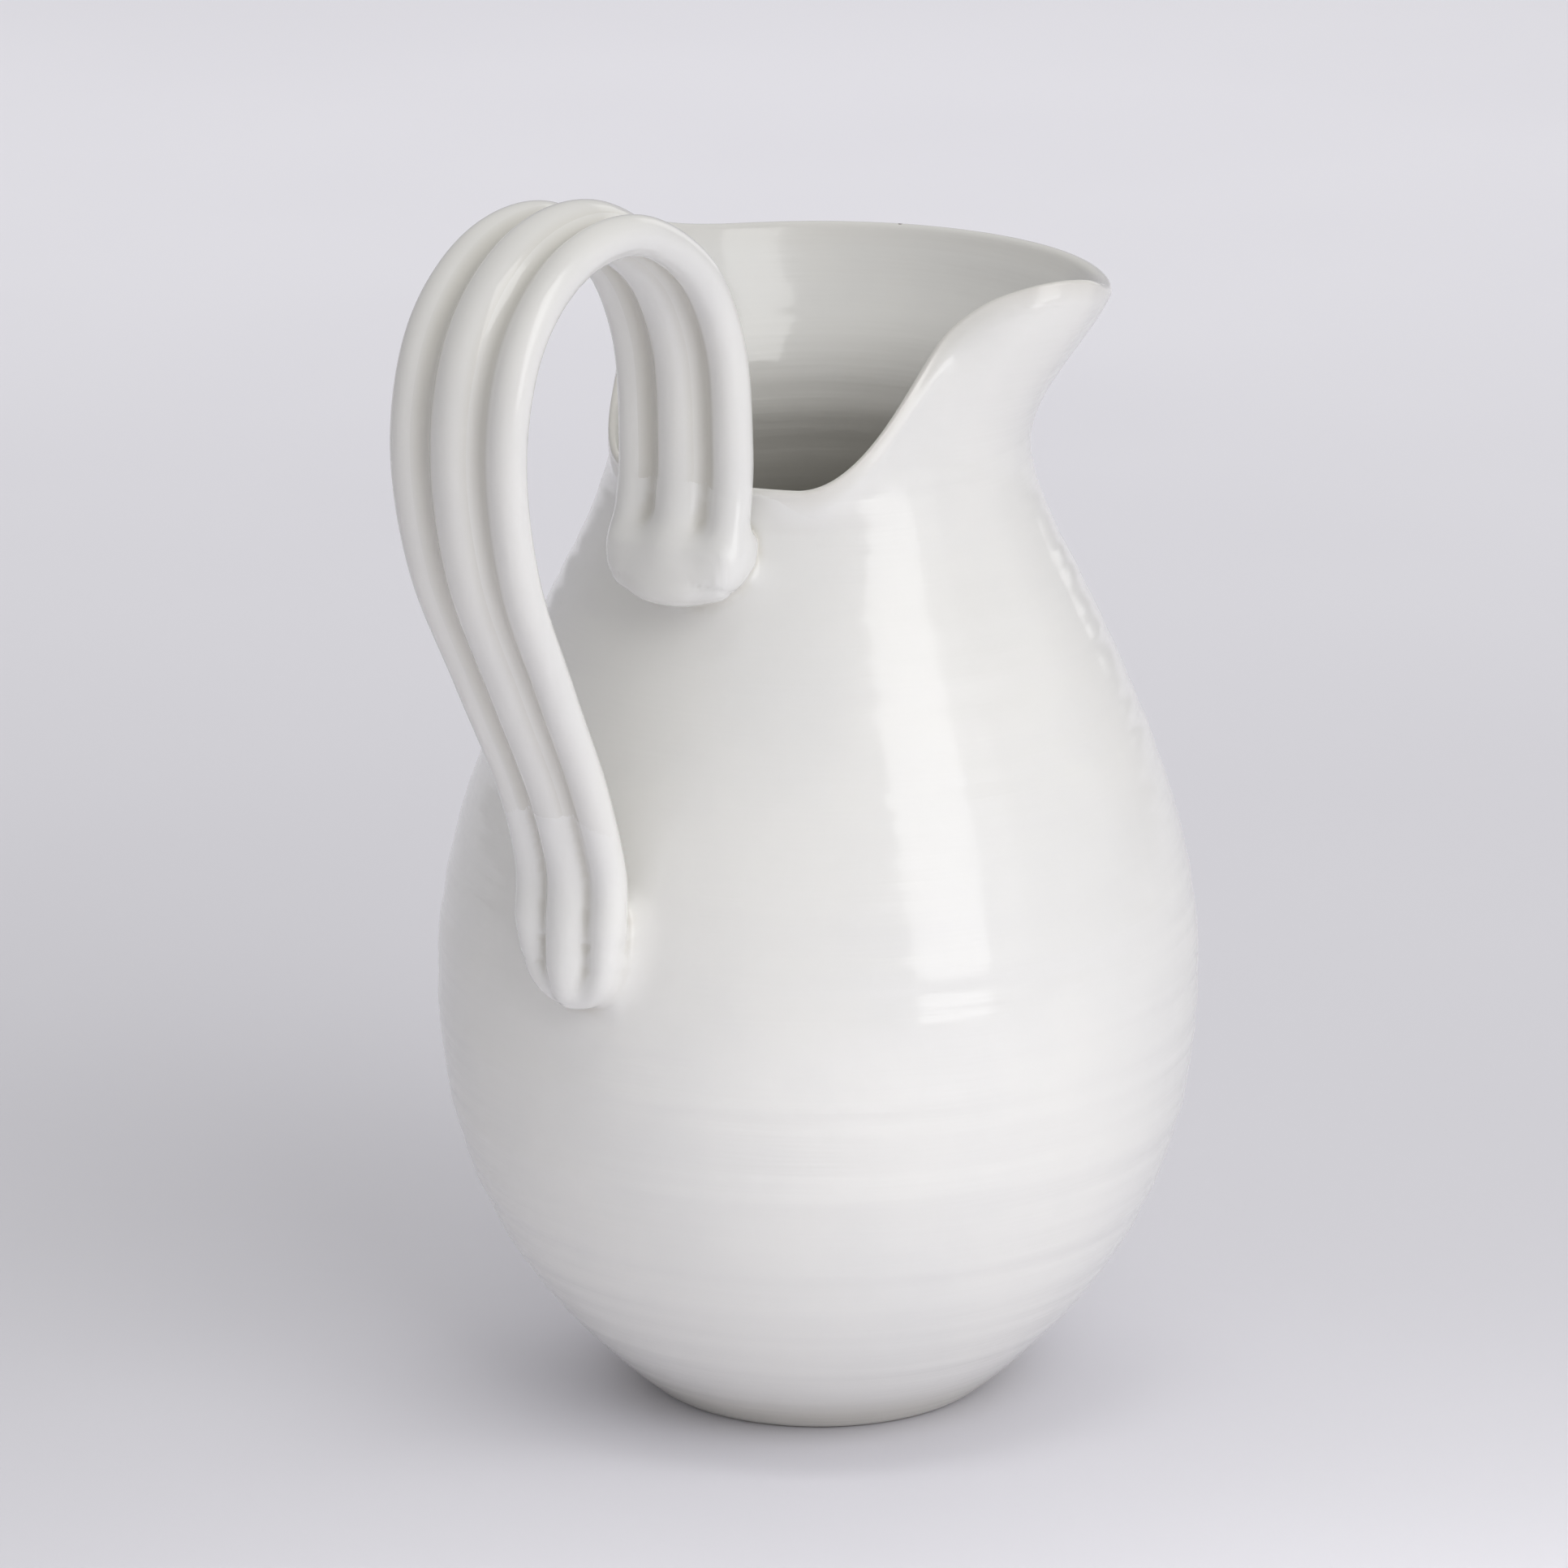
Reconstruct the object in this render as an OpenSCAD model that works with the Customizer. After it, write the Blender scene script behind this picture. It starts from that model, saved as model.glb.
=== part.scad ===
// Thrown ceramic pitcher: a full belly on a small turned foot, a narrow neck, a high pouring
// collar cut away at the back, and a strap handle of three clay coils laid side by side.
//
// The origin is the centre of the foot on the surface the pitcher stands on. +Z is up, the
// spout points along +X and the handle along -X. All sizes are in millimetres.

/* [Body] */
// Radius of the flat foot that the pitcher stands on
foot_radius = 37; // [34:0.5:41]
// Greatest radius of the belly
belly_radius = 82.5; // [78:0.5:86]
// Height of the widest part of the belly
belly_height = 94; // [88:1:100]
// Radius of the neck at its narrowest
neck_radius = 44.8; // [43:0.2:47]
// Height of the narrowest part of the neck
neck_height = 211; // [208:1:214]
// Thickness of the wall low in the body
wall_thickness = 4.6; // [3.5:0.1:6]
// Thickness of the floor above the recess of the foot
floor_thickness = 5; // [4:0.25:8]

/* [Rim and spout] */
// Height of the rim at the tip of the spout
lip_height = 244; // [238:0.5:250]
// Reach of the spout from the axis
lip_radius = 62.8; // [58:0.2:67]
// Height of the rim at the back, under the handle
back_height = 210.2; // [208:0.2:212]
// How far the shoulders of the collar rise above the spout
collar_rise = 7; // [0:0.5:9]
// Radius of the pinched sides, where the rim sweeps down
pinch_radius = 42; // [40:0.2:45]
// Thickness of the wall at the rim
rim_thickness = 2.8; // [2:0.1:3.6]

/* [Foot] */
// Width of the bare ring that touches the table
foot_ring = 4.5; // [3:0.25:7]
// Depth of the recess turned inside the ring
foot_recess = 1.6; // [0.8:0.2:2.4]

/* [Handle] */
// Radius of the middle coil over the crest
middle_coil_radius = 5.8; // [5.2:0.1:6]
// Radius of each side coil over the crest
side_coil_radius = 4.2; // [3.7:0.1:4.4]
// Distance between neighbouring coils over the crest
coil_pitch = 11.8; // [11.3:0.1:12.4]
// Distance between neighbouring coils low on the handle
low_coil_pitch = 9.6; // [9.5:0.1:10.2]
// How far the middle of the handle stands out from the axis at its widest
handle_reach = 126.5; // [122:0.5:132]
// Height of the middle of the handle at its crest
handle_top = 271.5; // [266:0.5:278]

/* [Hidden] */

glaze = [0.93, 0.92, 0.90];
bare_slip = [0.88, 0.86, 0.82];

// --- Curves -----------------------------------------------------------------------------

function lerp(a, b, u) = a + (b - a) * u;
function clamp01(u) = min(1, max(0, u));
function ease(u) = let (v = clamp01(u)) v * v * (3 - 2 * v);

// Slope of the flare at the lip, as radius over height
lip_slope = 0.55;

// Knots of the outer wall as [height, radius, slope of radius over height]
lower_knot = [0.41 * belly_height, 0.85 * belly_radius, 0.53];
shoulder_knot = [lerp(belly_height, neck_height, 0.7), lerp(belly_radius, neck_radius, 0.65), -0.478];
PROFILE = [
    [0, foot_radius, 1.22],
    lower_knot,
    [belly_height, belly_radius, 0],
    shoulder_knot,
    [neck_height, neck_radius, 0],
    [lip_height, lip_radius, lip_slope]
];

// Cubic through two knots that takes on the slope of each
function knot_radius(a, b, z) =
    let (h = b[0] - a[0], u = (z - a[0]) / h)
    a[1] * (1 - 3 * u * u + 2 * u * u * u) + b[1] * (3 * u * u - 2 * u * u * u)
    + h * a[2] * u * (1 - u) * (1 - u) + h * b[2] * u * u * (u - 1);

// Radius of the round wall at a height, with the flare carried on straight above the lip
function thrown_radius(z, i = 0) =
    i > len(PROFILE) - 2 ? lip_radius + lip_slope * (z - lip_height)
    : z <= PROFILE[i + 1][0] ? knot_radius(PROFILE[i], PROFILE[i + 1], z)
    : thrown_radius(z, i + 1);

// --- Rim --------------------------------------------------------------------------------

// Angles are measured from the spout, the same on both sides
cut_start = 94;
cut_end = 152;
rise_angle = 85;
rise_spread = 16.5;
pinch_start = 76;
pinch_end = 108;
back_flare = 4;
back_blend = 40;
press = 2.8;
press_spread = 20;
collar_base = neck_height - 10;

function from_spout(a) = a > 180 ? 360 - a : a;

function rim_height(a) =
    let (f = from_spout(a), bump = (f - rise_angle) / rise_spread)
    lerp(lip_height, back_height, ease((f - cut_start) / (cut_end - cut_start)))
    + collar_rise * exp(-bump * bump);

// The sides are pinched, the back flares again, and the handle presses it in a little
function rim_radius(a) =
    let (f = from_spout(a), dent = (180 - f) / press_spread)
    lerp(lip_radius, pinch_radius, ease((f - pinch_start) / (pinch_end - pinch_start)))
    + (neck_radius + back_flare - pinch_radius) * ease((f - pinch_end) / back_blend)
    - press * exp(-dent * dent);

// Radius of the outer wall at an angle and height: round up to the collar, then drawn in or
// out so that it meets the rim
function wall_radius(a, z) =
    let (top = rim_height(a), u = clamp01((z - collar_base) / (top - collar_base)))
    thrown_radius(z) + (rim_radius(a) - thrown_radius(top)) * u * u;

// Slope of the wall, taken over a short stretch of height
slope_step = 0.2;
function wall_slope(a, z) =
    (wall_radius(a, z + slope_step) - wall_radius(a, z - slope_step)) / (2 * slope_step);

function thickness(z) =
    lerp(wall_thickness, rim_thickness, ease((z - belly_height) / (back_height - belly_height)));

// A point of the wall in its radial plane as [radius, height], set in from the outside by
// some of the thickness
function wall_point(a, z, inset) =
    let (s = wall_slope(a, z), n = sqrt(1 + s * s))
    [wall_radius(a, z) - inset / n, z + inset * s / n];

function around(a, p) = [p[0] * cos(a), p[0] * sin(a), p[1]];

// --- Vessel -----------------------------------------------------------------------------

around_steps = 60;
body_steps = 26;
collar_steps = 8;
cap_steps = 4;
foot_bevel = 0.6;
floor_height = foot_recess + floor_thickness;

// The wall turns into the floor over a cove: [set in from the foot's radius, rise] of its points
COVE = [[1, 1.6], [15, 0.2]];
cove_top = floor_height + 6;

// Rows lie a little closer together low down, where the wall curves most
row_crowding = 1.15;

function row_height(start, i) = lerp(start, collar_base, pow(i / body_steps, row_crowding));
function collar_height(a, i) = lerp(collar_base, rim_height(a) - rim_thickness / 2, i / collar_steps);

// Half round of the rim, from its outside over the top to its inside
function rim_cap(a, i) =
    let (
        z = rim_height(a) - rim_thickness / 2,
        s = wall_slope(a, z), n = sqrt(1 + s * s),
        turn = 180 * i / cap_steps, half = rim_thickness / 2,
        mid = wall_point(a, z, half)
    )
    mid + half * [(cos(turn) + s * sin(turn)) / n, (sin(turn) - s * cos(turn)) / n];

// One vertical section of the vessel, from the foot up the outside, over the rim and down
// the inside to the floor
function section(a) = [
    [foot_radius - foot_bevel, 0],
    for (i = [0:body_steps])
        let (z = row_height(foot_bevel, i)) [wall_radius(a, z), z],
    for (i = [1:collar_steps - 1]) wall_point(a, collar_height(a, i), 0),
    for (i = [0:cap_steps]) rim_cap(a, i),
    for (i = [collar_steps - 1:-1:1])
        let (z = collar_height(a, i)) wall_point(a, z, thickness(z)),
    for (i = [body_steps:-2:0])
        let (z = row_height(cove_top, i)) wall_point(a, z, thickness(z)),
    for (p = COVE) [foot_radius - p[0], floor_height + p[1]]
];

module vessel_shell() {
    rows = len(section(0));
    n = around_steps;
    points = [
        for (j = [0:n - 1]) let (a = 360 * j / n) for (p = section(a)) around(a, p),
        [0, 0, 0],
        [0, 0, floor_height]
    ];
    faces = [
        for (j = [0:n - 1]) let (k = (j + 1) % n, p = j * rows, q = k * rows) each [
            [n * rows, p, q],
            for (i = [0:rows - 2]) each [[p + i, p + i + 1, q + i], [q + i, p + i + 1, q + i + 1]],
            [p + rows - 1, n * rows + 1, q + rows - 1]
        ]
    ];
    polyhedron(points, faces);
}

module vessel() {
    color(glaze)
    difference() {
        vessel_shell();
        translate([0, 0, -1])
            cylinder(h = foot_recess + 1, r = foot_radius - foot_bevel - foot_ring, $fn = 96);
    }
}

// --- Handle -----------------------------------------------------------------------------

// Centre line of the handle as [x, z], from the neck over the crest and down to the belly
HANDLE = [
    [-neck_radius - 12.7, neck_height - 19],
    [-neck_radius - 8.2, neck_height - 4],
    [-neck_radius - 7.2, neck_height + 10],
    [-neck_radius - 9.7, neck_height + 32],
    [-65, handle_top - 11],
    [-85, handle_top],
    [-106, handle_top - 2],
    [5 - handle_reach, handle_top - 15.5],
    [-handle_reach, 234],
    [6 - handle_reach, 207],
    [20.5 - handle_reach, 180],
    [-belly_radius - 10, belly_height + 62],
    [-belly_radius - 2.3, belly_height + 43],
    [-belly_radius - 2.4, belly_height + 29],
    [-belly_radius - 4, belly_height + 13]
];
handle_steps = 76;
end_steps = 3;
coil_sides = 12;
seam_gap = 0.06;
joint_gap = 0.1;

// Places along the handle, from 0 at the neck to 1 at its foot: where it draws in low down and
// again at the tip, where it starts to lean, and where the side coils and the seams stop
low_start = 0.55;
low_end = 0.84;
tip_start = 0.92;
lean_start = 0.35;
side_reach = 0.965;
seam_start = 0.02;
seam_reach = 0.93;
seam_steps = 60;

// Part of their radius that the coils lose low down and again at the tip, and part of their
// distance that they keep at the tip
low_taper = 0.12;
tip_taper = 0.12;
tip_pitch = 0.85;

// Sideways place of the handle at the neck and low down
top_lean = -1.5;
low_lean = 5.2;

// Length of a coil's rounded end along the handle, and the part of its radius left on its tip
round_end = 0.022;
blunt_tip = 0.14;

// Point of a smooth curve through the centre line, with t from 0 to 1
function handle_point(t) =
    let (
        last = len(HANDLE) - 1, i = min(last - 1, floor(t * last)), u = t * last - i,
        p1 = HANDLE[i], p2 = HANDLE[i + 1],
        p0 = i > 0 ? HANDLE[i - 1] : 2 * p1 - p2,
        p3 = i < last - 1 ? HANDLE[i + 2] : 2 * p2 - p1
    )
    (2 * p1 + (p2 - p0) * u + (2 * p0 - 5 * p1 + 4 * p2 - p3) * u * u
        + (3 * p1 - p0 - 3 * p2 + p3) * u * u * u) / 2;

// Outward direction across the centre line, taken over a short stretch of it
turn_step = 0.004;
function handle_normal(t) =
    let (d = handle_point(min(1, t + turn_step)) - handle_point(max(0, t - turn_step)))
    [d[1], -d[0]] / norm(d);

// The handle was set on slightly askew: this is its sideways place along its length
function lean(t) = lerp(top_lean, low_lean, clamp01((t - lean_start) / (low_end - lean_start)));

function low_part(t) = ease((t - low_start) / (low_end - low_start));
function tip_part(t) = ease((t - tip_start) / (1 - tip_start));
function taper(t) = 1 - low_taper * low_part(t) - tip_taper * tip_part(t);
function pitch(t) =
    lerp(lerp(coil_pitch, low_coil_pitch, low_part(t)), tip_pitch * low_coil_pitch, tip_part(t));

// Rounding of a coil's two ends, the lower of which stops at the place given by reach
function end_round(t, reach) =
    let (u = clamp01(max(t - reach + round_end, round_end - t) / round_end))
    max(blunt_tip, sqrt(1 - u * u));

// A point beside the centre line: across is sideways, inward is towards the middle of the loop
function beside(t, across, inward) =
    let (p = handle_point(t) - inward * handle_normal(t))
    [p[0], lean(t) + across, p[1]];

// Skin over rings of equal length, closed with a fan at each end
module skin(rings) {
    n = len(rings[0]);
    m = len(rings);
    points = [for (r = rings) each r];
    sides = [
        for (i = [0:m - 2], j = [0:n - 1])
            let (a = i * n + j, b = i * n + (j + 1) % n)
            each [[a, b, a + n], [b, b + n, a + n]]
    ];
    faces = concat(
        sides, [[for (j = [n - 1:-1:0]) j]], [[for (j = [0:n - 1]) (m - 1) * n + j]]
    );
    polyhedron(points, faces);
}

// Place of a ring along a coil: close steps over each rounded end and even ones between
function ring_place(i, reach) =
    i < end_steps ? round_end * (1 - cos(90 * i / end_steps))
    : i > handle_steps - end_steps
        ? reach - round_end * (1 - cos(90 * (handle_steps - i) / end_steps))
    : lerp(round_end, reach - round_end, (i - end_steps) / (handle_steps - 2 * end_steps));

// One coil: side is -1, 0 or 1, radius its radius over the crest, reach its lower end
module coil(side, radius, reach) {
    skin([
        for (i = [0:handle_steps])
            let (t = ring_place(i, reach), r = radius * taper(t) * end_round(t, reach))
            [
                for (j = [0:coil_sides - 1])
                    let (a = 360 * j / coil_sides)
                    beside(t, side * pitch(t) + r * sin(a), r * cos(a))
            ]
    ]);
}

// Depths across the valley between two coils, as parts of a side coil's radius
SEAM_DEPTHS = [-0.62, -0.31, 0, 0.31, 0.62];

// Section of the slip that fills the valley on one side of the middle coil
function seam_ring(t, side) =
    let (k = taper(t), rm = middle_coil_radius * k, rs = side_coil_radius * k)
    concat(
        [
            for (d = SEAM_DEPTHS)
                beside(t, side * (sqrt(rm * rm - d * d * rs * rs) + seam_gap), d * rs)
        ],
        [
            for (d = -SEAM_DEPTHS)
                beside(t, side * (pitch(t) - rs * sqrt(1 - d * d) - seam_gap), d * rs)
        ]
    );

function reversed(ring) = [for (i = [len(ring) - 1:-1:0]) ring[i]];

module seam(side) {
    skin([
        for (i = [0:seam_steps])
            let (ring = seam_ring(lerp(seam_start, seam_reach, i / seam_steps), side))
            side > 0 ? ring : reversed(ring)
    ]);
}

// --- Joints to the body -----------------------------------------------------------------

joint_rows = 16;
joint_columns = 20;
joint_skin = 0.3;

// Stretches of the handle beside the two joints
UPPER_LEG = [0, 0.2];
LOWER_LEG = [0.8, 1];

// A mound of slip is [middle y, middle z, half width, reach down, reach up, height]
UPPER_MOUND = [top_lean, neck_height - 10, 19, 16.5, 100, 11];
LOWER_MOUND = [low_lean, belly_height + 29, 18, 22.5, 23, 8];

// Bottom and top of the two joints
UPPER_ENDS = [neck_height - 26, back_height - 1.5];
LOWER_ENDS = [belly_height + 7, belly_height + 51];

// Least part of its width that a mound keeps at its ends, squared
mound_end = 0.06;

// Place t along one leg of the handle at a height, found by halving the stretch lo to hi
function leg_place(z, lo, hi, halvings = 16) =
    halvings == 0 ? (lo + hi) / 2
    : let (mid = (lo + hi) / 2, above = handle_point(mid)[1] > z, rising = handle_point(hi)[1] > z)
    above == rising ? leg_place(z, lo, mid, halvings - 1) : leg_place(z, mid, hi, halvings - 1);

// Where the wall lies behind a point y across and z up, as an x on the handle's side
function wall_x(y, z) =
    let (r = wall_radius(180, z), a = 180 - asin(y / r), w = wall_radius(a, z))
    -sqrt(w * w - y * y);

// How far the side of a coil that faces the wall stands towards it, or a far place if the
// coil isn't in front of this point of the wall
far_place = -1000;
least_turn = 0.5;
function coil_x(t, y, side, radius) =
    let (
        dy = y - lean(t) - side * pitch(t), r = radius * taper(t), d = r * r - dy * dy,
        turned = max(least_turn, abs(handle_normal(t)[0]))
    )
    d > 0 ? handle_point(t)[0] + sqrt(d) / turned : far_place;

function coils_x(t, y) = max(
    coil_x(t, y, -1, side_coil_radius), coil_x(t, y, 0, middle_coil_radius),
    coil_x(t, y, 1, side_coil_radius)
);

// Squared distance up or down from the middle of a mound, as a part of its reach
function mound_rise(z, mound) =
    let (v = z < mound[1] ? (mound[1] - z) / mound[3] : (z - mound[1]) / mound[4]) v * v;

function mound_width(z, mound) = mound[2] * sqrt(max(mound_end, 1 - mound_rise(z, mound)));

// Depth of the slip that is pressed up round the coils' ends: a soft mound that the coils
// lie in, beside one leg of the handle
function slip_depth(y, z, leg, mound) =
    let (
        u = (y - mound[0]) / mound[2],
        q = max(0, 1 - u * u - mound_rise(z, mound)),
        free = wall_x(y, z) - coils_x(leg_place(z, leg[0], leg[1]), y) - 2 * joint_gap
    )
    max(joint_skin, min(mound[5] * q * q, free));

module joint(leg, mound, ends) {
    skin([
        for (i = [0:joint_rows])
            let (
                z = lerp(ends[0], ends[1], i / joint_rows), w = mound_width(z, mound),
                across = [for (j = [0:joint_columns]) mound[0] + w * (2 * j / joint_columns - 1)]
            )
            concat(
                [for (y = reversed(across)) [wall_x(y, z) - joint_gap, y, z]],
                [for (y = across) [wall_x(y, z) - joint_gap - slip_depth(y, z, leg, mound), y, z]]
            )
    ]);
}

// --- The eight pieces -------------------------------------------------------------------

module middle_coil() { color(glaze) coil(0, middle_coil_radius, 1); }
module left_coil() { color(glaze) coil(1, side_coil_radius, side_reach); }
module right_coil() { color(glaze) coil(-1, side_coil_radius, side_reach); }
module left_seam() { color(bare_slip) seam(1); }
module right_seam() { color(bare_slip) seam(-1); }

module upper_joint() { color(glaze) joint(UPPER_LEG, UPPER_MOUND, UPPER_ENDS); }
module lower_joint() { color(glaze) joint(LOWER_LEG, LOWER_MOUND, LOWER_ENDS); }

vessel();
middle_coil();
left_coil();
right_coil();
left_seam();
right_seam();
upper_joint();
lower_joint();
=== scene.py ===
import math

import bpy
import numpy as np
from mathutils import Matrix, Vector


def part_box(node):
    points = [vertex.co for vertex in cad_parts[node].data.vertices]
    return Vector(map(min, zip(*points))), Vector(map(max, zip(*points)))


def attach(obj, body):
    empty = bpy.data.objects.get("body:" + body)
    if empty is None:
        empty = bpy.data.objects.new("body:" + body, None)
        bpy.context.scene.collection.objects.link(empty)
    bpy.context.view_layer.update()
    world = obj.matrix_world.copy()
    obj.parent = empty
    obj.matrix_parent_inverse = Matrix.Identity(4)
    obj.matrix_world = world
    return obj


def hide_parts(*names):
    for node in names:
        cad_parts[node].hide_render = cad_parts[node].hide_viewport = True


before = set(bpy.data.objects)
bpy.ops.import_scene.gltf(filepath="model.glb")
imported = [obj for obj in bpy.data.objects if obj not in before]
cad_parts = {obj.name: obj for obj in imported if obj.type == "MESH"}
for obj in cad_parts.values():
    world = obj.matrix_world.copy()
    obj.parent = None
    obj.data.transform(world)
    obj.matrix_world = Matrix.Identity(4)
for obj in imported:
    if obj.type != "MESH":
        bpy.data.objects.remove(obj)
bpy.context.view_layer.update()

# Looks of the ceramic pitcher: every CAD piece is rebuilt from the same formulas as a fine mesh,
# with throwing rings, a rounded rim and slip blended in round the handle, under a glossy white
# glaze. Sizes are in millimetres until a mesh is made, which is in metres. Angles are in radians,
# apart from those that are counted from the spout and those of the studio, in degrees.

MM = 0.001

# --- Driving sizes ----------------------------------------------------------------------

belly_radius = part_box("vessel")[1].x / MM
middle_radius = 5.8
side_radius = 4.2
handle_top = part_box("middle_coil")[1].z / MM - 6.5
handle_reach = -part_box("middle_coil")[0].x / MM - middle_radius

foot_radius = 37.0
belly_height = 94.0
neck_radius = 44.8
neck_height = 211.0
wall_thickness = 4.6
floor_thickness = 5.0
lip_height = 244.0
lip_radius = 62.8
lip_slope = 0.55
back_height = 210.2
collar_rise = 7.0
pinch_radius = 42.0
rim_thickness = 2.8
foot_ring = 4.5
foot_bevel = 0.6
foot_recess = 1.6
coil_pitch = 11.8
low_coil_pitch = 9.6
collar_base = neck_height - 10

# The rim, by angle from the spout in degrees: where it sweeps down to the back, where it stands
# highest, where the sides are pinched, how far the back flares, and the handle's dent in it
cut_start = 94
cut_end = 152
rise_angle = 85
rise_spread = 16.5
pinch_start = 76
pinch_end = 108
back_flare = 4
back_blend = 40
press = 2.8
press_spread = 20

# The stouter lip round the spout: by how much, up to which angle and from which height
stout_part = 0.5
stout_angle = 84
stout_angle_blend = 28
stout_height = 228
stout_height_blend = 14

# The bevel of the cut rim: its size, its least part, its height and the angles of the S-curves
bevel_size = 1.5
bevel_least = 0.12
bevel_height = 5
curve_start = 58
curve_start_blend = 26
curve_end = 165
curve_end_blend = 20


# --- Curves -----------------------------------------------------------------------------

def lerp(a, b, u):
    return a + (b - a) * u


def ease(u):
    v = np.clip(u, 0, 1)
    return v * v * (3 - 2 * v)


def bell(x, middle, spread):
    return np.exp(-(((x - middle) / spread) ** 2))


def smooth_min(a, b, reach):
    """The lesser of two distances, rounded where they are within reach of each other."""
    h = np.clip(0.5 + 0.5 * (b - a) / reach, 0, 1)
    return lerp(b, a, h) - reach * h * (1 - h)


def waves(x, parts):
    """Sum of sines over x, each given as (length, size, start)."""
    return sum(size * np.sin(2 * math.pi * (x / length + start)) for length, size, start in parts)


# --- Thrown wall ------------------------------------------------------------------------

# Knots of the outer wall: height, radius, slope of radius over height
PROFILE = [
    (0.0, foot_radius, 1.22),
    (0.41 * belly_height, 0.85 * belly_radius, 0.53),
    (belly_height, belly_radius, 0.0),
    (lerp(belly_height, neck_height, 0.7), lerp(belly_radius, neck_radius, 0.65), -0.478),
    (neck_height, neck_radius, 0.0),
    (lip_height, lip_radius, lip_slope),
]


def thrown_radius(z):
    """Radius of the round wall at a height, carried on straight above the lip."""
    z = np.asarray(z, float)
    radius = lip_radius + lip_slope * (z - lip_height)
    for (z0, r0, s0), (z1, r1, s1) in reversed(list(zip(PROFILE, PROFILE[1:]))):
        h = z1 - z0
        u = (z - z0) / h
        cubic = (
            r0 * (1 - 3 * u**2 + 2 * u**3) + r1 * (3 * u**2 - 2 * u**3)
            + h * s0 * u * (1 - u) ** 2 + h * s1 * u**2 * (u - 1)
        )
        radius = np.where(z <= z1, cubic, radius)
    return radius


def from_spout(a):
    """Angle from the spout in degrees, 0 to 180."""
    return np.degrees(np.abs(np.arctan2(np.sin(a), np.cos(a))))


def rim_height(a):
    f = from_spout(a)
    sweep = ease((f - cut_start) / (cut_end - cut_start))
    return lerp(lip_height, back_height, sweep) + collar_rise * bell(f, rise_angle, rise_spread)


def rim_radius(a):
    f = from_spout(a)
    return (
        lerp(lip_radius, pinch_radius, ease((f - pinch_start) / (pinch_end - pinch_start)))
        + (neck_radius + back_flare - pinch_radius) * ease((f - pinch_end) / back_blend)
        - press * bell(f, 180, press_spread)
    )


def wall_radius(a, z):
    """Radius of the outer wall, before its throwing rings."""
    top = rim_height(a)
    u = np.clip((z - collar_base) / (top - collar_base), 0, 1)
    return thrown_radius(z) + (rim_radius(a) - thrown_radius(top)) * u * u


def wall_slope(a, z, step=0.2):
    return (wall_radius(a, z + step) - wall_radius(a, z - step)) / (2 * step)


def thickness(a, z):
    """Thickness of the wall, with a stouter lip round the spout."""
    thin = ease((z - belly_height) / (back_height - belly_height))
    at_spout = ease((stout_angle - from_spout(a)) / stout_angle_blend)
    at_lip = ease((z - stout_height) / stout_height_blend)
    return lerp(wall_thickness, rim_thickness, thin) * (1 + stout_part * at_spout * at_lip)


def rim_cut(a):
    """1 where the collar was cut down to the S-curve, 0 at the spout and behind the handle."""
    f = from_spout(a)
    return ease((f - curve_start) / curve_start_blend) * ease((curve_end - f) / curve_end_blend)


def bevel(a, z):
    """How far the outside is softened back just below the cut rim, most on the S-curves."""
    near_rim = ease(1 - (rim_height(a) - z) / bevel_height)
    return bevel_size * lerp(bevel_least, 1, rim_cut(a)) * near_rim


# Rings that the thrower's fingers left on the outside, raised or sunk: height, size, spread
OUTER_RINGS = [
    (20, 0.09, 3.0), (31, -0.09, 2.6), (38, 0.16, 2.2), (44, -0.25, 2.2), (50, 0.13, 2.6),
    (60, -0.16, 2.4), (66, 0.25, 2.4), (74, -0.12, 3.0), (82, 0.09, 2.6), (88, 0.22, 2.4),
    (94, -0.16, 2.6), (103, 0.12, 3.0), (111, -0.20, 2.0), (116, 0.12, 2.4), (120.5, -0.21, 1.9),
    (129, 0.12, 3.0), (140, -0.20, 2.0), (146, 0.09, 2.4), (152.5, -0.20, 1.7), (157.5, -0.13, 1.5),
    (162, 0.09, 2.0), (167.5, -0.18, 1.8), (178.5, -0.21, 1.7), (183, 0.09, 1.8), (187.5, -0.14, 1.6),
    (198, 0.09, 3.0), (209.5, -0.13, 1.8), (217, 0.07, 2.4),
]
# Rings inside the collar and the neck
INNER_RINGS = [
    (238, 0.12, 2.0), (230, -0.14, 2.4), (222, 0.16, 2.4), (213, -0.3, 2.6), (206, 0.42, 2.6),
    (199, -0.35, 2.6), (191, 0.3, 3.0), (180, -0.3, 3.0), (168, 0.35, 4.0), (150, -0.35, 4.0),
    (130, 0.4, 4.0), (110, -0.4, 4.0), (90, 0.4, 4.0), (70, -0.4, 4.0), (50, 0.4, 4.0),
]


def ring_relief(a, z, rings):
    """Height of the throwing rings at an angle and height: each climbs a little on its way round
    and swells and fades."""
    total = np.zeros(np.broadcast(a, z).shape)
    for k, (middle, size, spread) in enumerate(rings):
        place = middle + 1.1 * np.sin(a + 1.7 * k) + 0.35 * np.sin(3 * a + 2.3 * k)
        swell = 0.75 + 0.25 * np.sin(2 * a + 0.9 * k)
        total = total + size * swell * bell(z, place, spread)
    fine = waves(z + 2.2 * a / math.pi, [(5.6, 0.03, 0.1), (3.9, 0.018, 0.4)])
    return total + fine


def wobble(a, z):
    """Slow unevenness of the hand-thrown round."""
    return (
        0.22 * np.sin(2 * a + 0.6 + z / 70) + 0.12 * np.sin(3 * a + 2.0 - z / 45)
        + 0.05 * np.sin(5 * a + z / 28)
    )


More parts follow.
